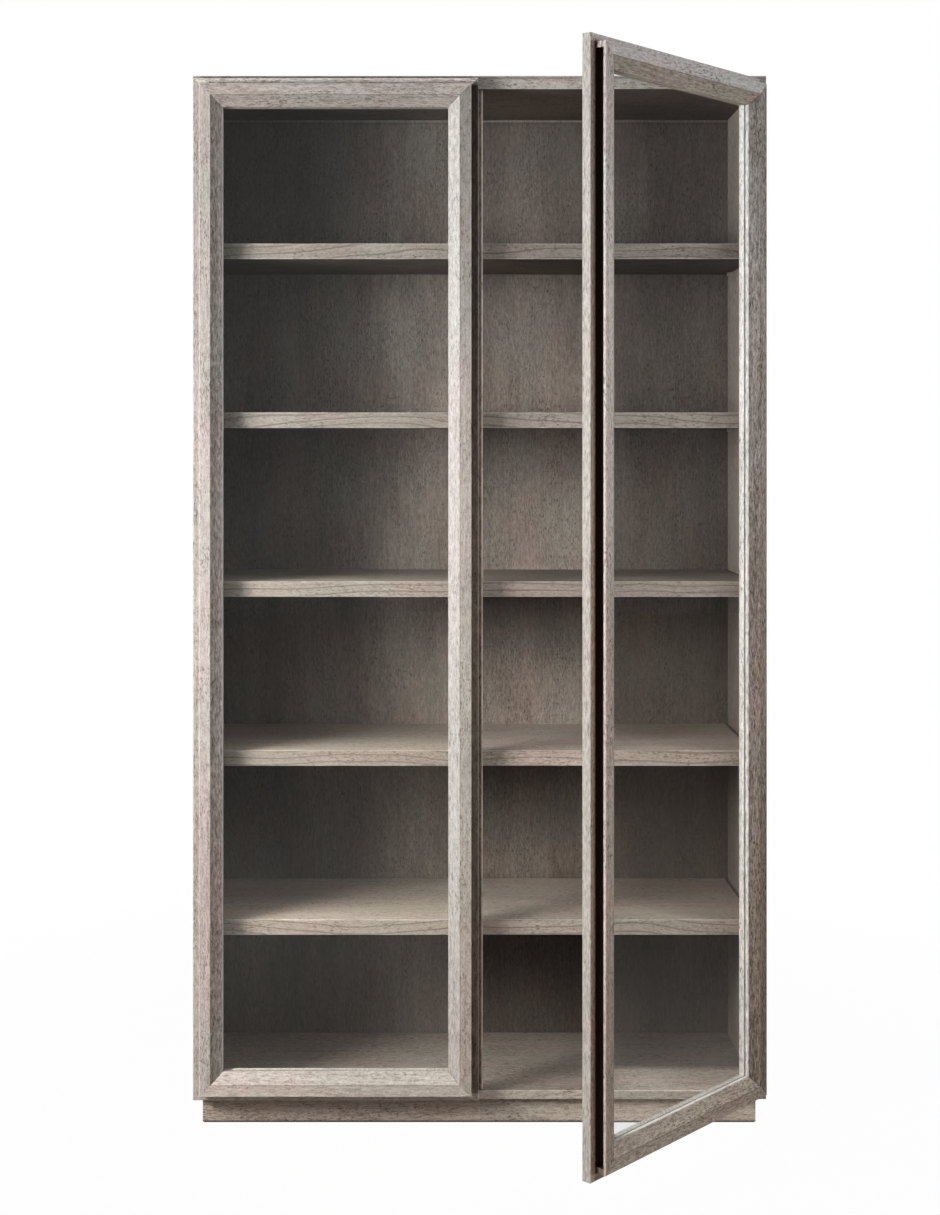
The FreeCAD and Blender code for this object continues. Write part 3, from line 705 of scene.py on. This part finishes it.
# Each member's own shade is painted light and shade, set member by member on each leaf.
doorLook = {
    "left": {
        "spaces": {"stile": upright, "rail": lengthways},
        "seed": 20.0,
        "along": rightWay,      # from the hinges to the meeting edge
        "out": frontWay,
        "outerFade": 0.0,       # painted shade on the door's outer edges
        "outerTint": plain,
        # painted shade on the ledge beside the finger pull
        "ledgeShade": 0.93,
        "lowTint": (1.0, 0.966, 0.926),
        "hinge_stile": {
            "shade": 0.97, "bevel": 0.70, "topFade": 0.14, "rise": -0.15, "slope": 0.30,
            "sightHighlight": 1.6, "stepFade": 0.15, "contrast": (0.0, 2.2),
            "tints": ((0.99, 1.006, 1.03), (1.0, 0.99, 0.985)),
            "grain": {"streak": 1.2, "fleck": 0.66, "long": 0.6}},
        "meeting_stile": {
            "shade": 0.85, "bevel": 0.95, "topFade": 0.42, "rise": 0.15, "bevelWearAndLight": 0.30,
            "contrast": (0.0, 0.3), "tints": (plain, (0.985, 1.0, 1.035)),
            "grain": {"streak": 1.3, "fleck": 0.66}},
        "top_rail": {
            "shade": 0.85, "bevel": 0.68, "topFade": 0.06, "stepFade": -0.64,
            "grain": {"streak": 1.8}},
        "bottom_rail": {
            "shade": 1.09, "bevel": 1.05, "tints": (plain, (0.985, 1.0, 1.020)),
            "grain": {"streak": 1.2, "fleck": 0.50}},
    },
    "right": {
        "spaces": {"stile": rightUpright, "rail": rightLengthways},
        "seed": 30.0,
        "along": rightAlong,
        "out": rightOut,
        "outerFade": 0.49,
        "outerTint": (1.0, 0.955, 0.855),
        # painted shade on the ledge beside the finger pull
        "ledgeShade": 0.57,
        "lowTint": (1.0, 0.905, 0.815),
        "hinge_stile": {
            "shade": 0.73, "bevel": 0.70, "rise": -0.15, "sightHighlight": 0.7, "contrast": (1.6, 1.2),
            "tints": ((1.0, 0.940, 0.890), (1.0, 0.965, 0.955)),
            "grain": {"streak": 2.1, "fleck": 0.95, "long": 1.1}},
        "meeting_stile": {"shade": 1.18},
        "top_rail": {
            "shade": 1.36, "bevel": 0.54, "sightHighlight": 0.3, "contrast": (0.0, 0.8),
            "tints": ((0.985, 1.01, 1.055), (1.0, 0.920, 0.845))},
        "bottom_rail": {
            "shade": 1.42, "sightHighlight": 0.9, "grain": {"streak": 1.8}},
    },
}


def doorMeasure(finish, place, leaf, way, pinOffset):  # metres along a way from the door's own edge
    pin = joints[leaf + "_door_hinge"]["pos_m"]
    return finish.dot(place, way) + (pinOffset - sum(a * b for a, b in zip(way, pin)))


def memberSpot(finish, place, leaf, member):
    height = finish.dot(place, upWay)
    fromHinge = doorMeasure(finish, place, leaf, doorLook[leaf]["along"], doorSize["pinFromEdge"])
    fromMeeting = doorSize["width"] - fromHinge
    fromBottom = height - doorSize["bottom"]
    fromTop = doorSize["top"] - height
    sideways = fromHinge.least(fromMeeting)
    upDown = fromBottom.least(fromTop)
    edges = {"hinge_stile": (fromHinge, upDown), "meeting_stile": (fromMeeting, upDown),
             "top_rail": (fromTop, sideways), "bottom_rail": (fromBottom, sideways)}
    out = doorMeasure(finish, place, leaf, doorLook[leaf]["out"], doorSize["pinFromBack"])
    return Spot(height, *edges[member], out)


def mouldingDarkLines(spot):  # dark lines in the mitres and in the fold, and painted shade in the ledge's corner
    onFlat = 1 - spot.inward.ramp(doorSize["flat"], doorSize["flat"] + moulding["flatEnd"])
    mitre = (spot.inward - spot.end).near(0.0, *moulding["mitreLine"])
    mitre = mitre * spot.out.ramp(*moulding["faceFrom"])
    mitre = mitre * (moulding["mitreDark"] - onFlat * moulding["mitreFlat"])
    corner = (spot.inward.near(doorSize["ledge"], *moulding["cornerLine"])
              * spot.out.near(doorSize["step"], *moulding["cornerLine"]) * moulding["cornerShade"])
    fold = (spot.inward.near(doorSize["flat"], *moulding["foldLine"])
            * spot.out.ramp(*moulding["foldFace"]) * moulding["foldDark"])
    return mitre.most(corner).most(fold)


def mouldingWearAndLight(look, spot, bevel):  # wear on the flat's rim and the outer edge, a painted highlight beside the glass, and pale wear with painted light on the bevel
    rim = spot.inward.near(doorSize["ledge"], *moulding["rimLine"])
    rim = rim * spot.out.ramp(*moulding["rimFace"])
    wearAndHighlight = rim.most(1 - spot.inward.ramp(*moulding["edge"])) * moulding["wear"]
    sight = spot.inward.ramp(doorSize["sight"] - moulding["sightLine"], doorSize["sight"])
    return wearAndHighlight.most(sight * look["sightHighlight"]).most(bevel * look["bevelWearAndLight"])


# Painted light and shade over the moulding: loss at the top, shade on outer edge and ledge, bevel's
# level, rise and slope.
def mouldingShade(look, outerFade, spot, bevel, side, streak):
    rising = spot.height.ramp(*moulding["doorReach"])
    high = spot.height.ramp(*moulding["topFadeReach"]) * (1 - bevel) * look["topFade"]
    outer = side * outerFade * (moulding["sideLevel"] - rising * moulding["sideLoss"])
    outer = outer + (1 - spot.inward.ramp(*moulding["ledgeEnd"])) * look["stepFade"]
    flatContrast, bevelContrast = look["contrast"]
    contrast = flatContrast + bevel * (bevelContrast - flatContrast)
    rise = bevel * (rising - 0.5) * look["rise"]
    slope = (spot.inward.ramp(doorSize["flat"], doorSize["sight"]) - 0.5) * bevel * look["slope"]
    shade = (1 - bevel * (1 - look["bevel"])) * (1 - high) * (1 - outer)
    return shade * (1 + (streak - 0.5) * contrast) * (1 + rise) * (1 + slope)


# The pull is dark inside; the ledge beside it gets painted shade, and the pull's end stops are darker low
# down.
def pullDarkAndShade(ledgeShade, spot, streak):  # also gives the mask of the ledge beside the pull
    pull = (spot.out.within(pullLook["outFrom"], doorSize["pullFront"])
            * spot.inward.within(pullLook["inFrom"], doorSize["pullFloor"]))
    ledge = (spot.out.near(doorSize["step"], *pullLook["ledgeLine"])
             * (1 - spot.inward.ramp(*moulding["ledgeEnd"])))
    ledge = ledge * spot.end.ramp(*pullLook["ledgeStart"])
    low = 1 - spot.height.ramp(*pullLook["ledgeReach"])
    darkening = ledgeShade - low * pullLook["ledgeLow"] - (streak - 0.5) * pullLook["ledgeStreak"]
    stop = (spot.inward.near(doorSize["ledge"], *pullLook["stopLine"])
            * spot.out.within(pullLook["stopFrom"], doorSize["pullFront"]))
    stop = stop * (1 - spot.height.ramp(*pullLook["stopReach"])) * pullLook["stopDark"]
    return (pull * pullLook["dark"]).most(ledge * darkening).most(stop), ledge


def memberMarks(leaf, member):
    leafLook = doorLook[leaf]
    look = dict(memberLook, **leafLook[member])

    def marks(finish, place, streak):
        spot = memberSpot(finish, place, leaf, member)
        bevel = spot.inward.ramp(doorSize["flat"], doorSize["flat"] + moulding["bevelFrom"])
        side = 1 - spot.inward.ramp(*moulding["side"])
        wearAndHighlight = mouldingWearAndLight(look, spot, bevel)
        dirtAndShade = mouldingDarkLines(spot)
        shade = mouldingShade(look, leafLook["outerFade"], spot, bevel, side, streak)
        tint = finish.blend(side, finish.blend(bevel, *look["tints"]), leafLook["outerTint"])
        if member == "meeting_stile":
            darkening, ledge = pullDarkAndShade(leafLook["ledgeShade"], spot, streak)
            dirtAndShade = dirtAndShade.most(darkening)
            tint = finish.blend(ledge, tint, pullLook["brownTint"])
        return wearAndHighlight, dirtAndShade, shade, tint
    return marks


members = {                     # each member's kind and its step in the seed
    "hinge_stile": ("stile", 0.0),
    "meeting_stile": ("stile", 1.1),
    "top_rail": ("rail", 2.3),
    "bottom_rail": ("rail", 3.2),
}
beadLook = {
    "seedStep": 4.6,
    "oak": {"mid": (0.720, 0.700, 0.680), "light": (0.860, 0.850, 0.835)},
}
for leaf, look in doorLook.items():
    for member, (kind, seedStep) in members.items():
        name = leaf + "_" + member
        own = dict(memberLook, **look[member])
        changes = dict(own["grain"], shade=own["shade"], lowTint=look["lowTint"])
        dress(oak(name + "_oak", look["spaces"][kind], look["seed"] + seedStep,
                  memberMarks(leaf, member), **changes), name)
    dress(oak(leaf + "_bead_oak", look["spaces"]["stile"], look["seed"] + beadLook["seedStep"],
              **beadLook["oak"]), leaf + "_glass_beads")

lippingLook = {                 # its free edge gets a painted highlight, the rest painted shade from the door's edge in front of it
    "seed": 40.5,
    "shade": 0.85,
    "edge": (0.0020, 0.0034),
    "wear": 0.6,
    "shadeFrom": (0.0022, 0.0040),
    "shadeStreak": 0.5,
}


def lippingMarks(finish, place, streak):
    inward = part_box("lipping")[1][0] - finish.dot(place, rightWay)
    darkening = inward.ramp(*lippingLook["shadeFrom"]) * (1 - streak * lippingLook["shadeStreak"])
    wearAndHighlight = (1 - inward.ramp(*lippingLook["edge"])) * lippingLook["wear"]
    return wearAndHighlight, darkening, lippingLook["shade"], pullLook["brownTint"]


dress(oak("lipping_oak", upright, lippingLook["seed"], lippingMarks), "lipping")
print("doors done")

glassLook = {
    "tint": (0.845, 0.860, 0.848),
    "shadowTint": (0.900, 0.905, 0.900),
    "roughness": 0.0,
    "ior": 1.5,
}


def clearGlass():
    finish = Finish("clear_glass")
    pane = finish.node("ShaderNodeBsdfPrincipled", {}, {
        "Base Color": glassLook["tint"], "Roughness": glassLook["roughness"],
        "IOR": glassLook["ior"], "Transmission Weight": 1.0})
    through = finish.node("ShaderNodeBsdfTransparent", {}, {"Color": glassLook["shadowTint"]})
    shader = finish.node("ShaderNodeMixShader", {}, {0: finish.ray("Is Shadow Ray"), 1: pane, 2: through})
    return finish.surface(shader)


plainLook = {                   # two colours, and cycles per metre of the noise between them
    "nickel_plate": {"low": (0.50, 0.48, 0.45), "high": (0.66, 0.64, 0.60),
                     "cycles": (180, 180, 1200), "roughness": 0.32, "metallic": 1.0},
    "zinc_screw": {"low": (0.42, 0.41, 0.38), "high": (0.60, 0.58, 0.52),
                   "cycles": (900, 900, 900), "roughness": 0.40, "metallic": 1.0},
    "black_glazing_tape": {"low": (0.010, 0.010, 0.010), "high": (0.030, 0.030, 0.030),
                           "cycles": (400, 400, 400), "roughness": 0.80, "metallic": 0.0},
    "bumper_rubber": {"low": (0.50, 0.50, 0.48), "high": (0.66, 0.66, 0.64),
                      "cycles": (300, 300, 300), "roughness": 0.45, "metallic": 0.0},
    "foot_plastic": {"low": (0.020, 0.020, 0.020), "high": (0.050, 0.050, 0.050),
                     "cycles": (700, 700, 700), "roughness": 0.50, "metallic": 0.0},
}
plainGrain = {
    "detail": 3.0,
    "roughness": 0.6,
    "bump": 0.15,
    "bumpDepth": 0.0003,
    "roughChange": 0.2,
}


def plainFinish(name, look):
    finish = Finish(name)
    spot = finish.node("ShaderNodeVectorMath", {"operation": "MULTIPLY"},
                       {0: finish.place(), 1: look["cycles"]})
    grain = finish.noise(spot, plainGrain["detail"], plainGrain["roughness"])
    normal = finish.node("ShaderNodeBump", {}, {
        "Strength": plainGrain["bump"], "Distance": plainGrain["bumpDepth"], "Height": grain})
    shader = finish.node("ShaderNodeBsdfPrincipled", {}, {
        "Base Color": finish.blend(grain, look["low"], look["high"]), "Normal": normal,
        "Metallic": look["metallic"],
        "Roughness": look["roughness"] + (grain - 0.5) * plainGrain["roughChange"]})
    return finish.surface(shader)


beechLook = {
    "dark": (0.36, 0.22, 0.12),
    "mid": (0.56, 0.38, 0.22),
    "light": (0.70, 0.52, 0.34),
}
finishes = {name: plainFinish(name, look) for name, look in plainLook.items()}
finishes["clear_glass"] = clearGlass()
finishes["beech_dowel"] = oak("beech_dowel", upright, 50.2, **beechLook)
smallParts = {                  # pieces that come once, then those that come left and right
    "clear_glass": ((), ("glass_pane",)),
    "black_glazing_tape": ((), ("glazing_tape",)),
    "zinc_screw": (("back_screws", "plinth_screws", "lipping_screws"),
                   ("bead_brads", "cup_screws", "arm_screws", "plate_screws")),
    "nickel_plate": (("shelf_pins",), ("hinge_cups", "hinge_pins", "hinge_arms", "hinge_plates")),
    "beech_dowel": (("case_dowels",), ("corner_splines",)),
    "bumper_rubber": ((), ("door_bumpers",)),
    "foot_plastic": (("levelling_feet",), ()),
}
for name, (single, paired) in smallParts.items():
    dress(finishes[name], *single)
    for leaf in doorLook:
        dress(finishes[name], *(leaf + "_" + piece for piece in paired))
print("glass, metal and small parts done")

studio = {
    "floorSize": 24.0,
    "floorColour": (0.375, 0.345, 0.318),
    "floorShow": 0.98,          # how much of the plain white shows near the object
    "clearRing": (0.8, 2.6),    # beyond it the floor is plain white
    "ambient": (0.055, 0.057, 0.060),
    "frontGlow": 0.11,          # the dim room in front, as the panes mirror it
}
floorMask = {                   # where the floor is white in and through the panes, in metres
    "behind": (0.6, 1.6),
    "behindSpread": 0.8,        # the white starts further back at the sides
    "front": (0.9, 2.0),
    "underSides": (0.62, 0.80),
    "underFront": (-0.66, -0.56),
    "beside": (0.80, 0.95),
    "besideFront": (-1.7, -1.3),
    "doorWay": (0.20, -1, 0),   # on the right, only in front of the open door
    "doorFrom": (0.70, 0.76),
}
worldMask = {                   # the same for the background, in parts of a ray's own length
    "behind": (0.35, 0.75),
    "front": (0.50, 0.90),
    "beside": (0.60, 0.90),
    "besideBack": (0.02, 0.12),
}


def whiteShown(finish, panes, through):  # to the camera, in the panes, and only through them
    inPanes = (finish.ray("Is Transmission Ray") + finish.ray("Is Glossy Ray")) * panes
    return (finish.ray("Is Camera Ray") + inPanes + finish.ray("Is Transmission Ray") * through).limited()


def straightOn(finish):  # 1 until a ray has met something matt
    return 1 - finish.ray("Diffuse Depth").limited()


def studioFloor():
    half = studio["floorSize"] / 2
    mesh = bpy.data.meshes.new("floor")
    mesh.from_pydata([(-half, -half, 0), (half, -half, 0), (half, half, 0), (-half, half, 0)],
                     [], [(0, 1, 2, 3)])
    floor = bpy.data.objects.new("floor", mesh)
    bpy.context.scene.collection.objects.link(floor)
    finish = Finish("studio_floor")
    place = finish.place()
    sideways = finish.dot(place, rightWay)
    depth = finish.dot(place, backWay)
    away = finish.node("ShaderNodeVectorMath", {"operation": "LENGTH"}, {0: place}, 1)
    show = studio["floorShow"] + away.ramp(*studio["clearRing"]) * (1 - studio["floorShow"])
    behind = (depth - sideways.size() * floorMask["behindSpread"]).ramp(*floorMask["behind"])
    front = finish.dot(place, frontWay).ramp(*floorMask["front"]) * studio["frontGlow"]
    under = 1 - sideways.size().ramp(*floorMask["underSides"])
    under = under * depth.ramp(*floorMask["underFront"])
    left = finish.dot(place, leftWay).ramp(*floorMask["beside"])
    right = sideways.ramp(*floorMask["beside"])
    right = right * finish.dot(place, floorMask["doorWay"]).ramp(*floorMask["doorFrom"])
    beside = (left + right) * depth.ramp(*floorMask["besideFront"]) * straightOn(finish)
    shown = whiteShown(finish, behind + front, under + beside)
    matt = finish.node("ShaderNodeBsdfDiffuse", {}, {"Color": studio["floorColour"]})
    white = finish.node("ShaderNodeEmission", {}, {"Color": plain, "Strength": 1.0})
    shader = finish.node("ShaderNodeMixShader", {}, {0: shown * show, 1: matt, 2: white})
    mesh.materials.append(finish.surface(shader))


def background():
    world = bpy.data.worlds.new("studio")
    bpy.context.scene.world = world
    finish = Finish("studio", world)
    ray = finish.node("ShaderNodeTexCoord", out="Generated")
    behind = finish.dot(ray, backWay).ramp(*worldMask["behind"])
    front = finish.dot(ray, frontWay).ramp(*worldMask["front"]) * studio["frontGlow"]
    left = finish.dot(ray, leftWay).ramp(*worldMask["beside"])
    right = finish.dot(ray, rightWay).ramp(*worldMask["beside"])
    right = right * (1 - finish.dot(ray, backWay).ramp(*worldMask["besideBack"]))
    shown = whiteShown(finish, behind + front, (left + right) * straightOn(finish))
    colour = finish.blend(shown, studio["ambient"], plain)
    glow = finish.node("ShaderNodeBackground", {}, {"Color": colour, "Strength": 1.0})
    finish.node("ShaderNodeOutputWorld", {}, {"Surface": glow})


lamps = {
    "key_softbox": {"place": (-2.35, -1.80, 1.62), "aim": (0.0, -0.1, 1.05),
                    "size": (0.9, 0.9), "watts": 106, "colour": (1.0, 0.992, 0.980)},
    "fill_softbox": {"place": (1.62, -1.45, 1.80), "aim": (0.3, -0.4, 1.15),
                     "size": (0.7, 0.7), "watts": 16, "colour": (0.965, 0.985, 1.0)},
    "top_softbox": {"place": (-0.4, -1.0, 4.2), "aim": (0.0, 0.0, 1.0),
                    "size": (1.6, 1.2), "watts": 4, "colour": plain},
    "back_softbox": {"place": (2.2, 4.2, 2.6), "aim": (0.0, 0.0, 1.1),
                     "size": (2.4, 2.4), "watts": 25, "colour": plain},
}


def softbox(name, look):
    lamp = bpy.data.lights.new(name, "AREA")
    lamp.shape = "RECTANGLE"
    lamp.size, lamp.size_y = look["size"]
    lamp.energy = look["watts"]
    lamp.color = look["colour"]
    holder = bpy.data.objects.new(name, lamp)
    holder.location = look["place"]
    aim = Vector(look["aim"]) - Vector(look["place"])
    holder.rotation_euler = aim.to_track_quat("-Z", "Y").to_euler()
    bpy.context.scene.collection.objects.link(holder)


studioFloor()
background()
for name, look in lamps.items():
    softbox(name, look)
print("studio done")

view = {
    "place": (-0.1313, -4.083, 1.4567),
    "lens": 54.14,
    "sensor": 36.0,
    "shift": (0.0430, -0.1366),
}


def levelCamera():
    data = bpy.data.cameras.new("camera")
    data.lens = view["lens"]
    data.sensor_width = view["sensor"]
    data.shift_x, data.shift_y = view["shift"]
    camera = bpy.data.objects.new("camera", data)
    camera.location = view["place"]
    camera.rotation_euler = (math.pi / 2, 0, 0)
    bpy.context.scene.collection.objects.link(camera)
    bpy.context.scene.camera = camera


levelCamera()
bpy.context.scene.view_settings.view_transform = "Standard"
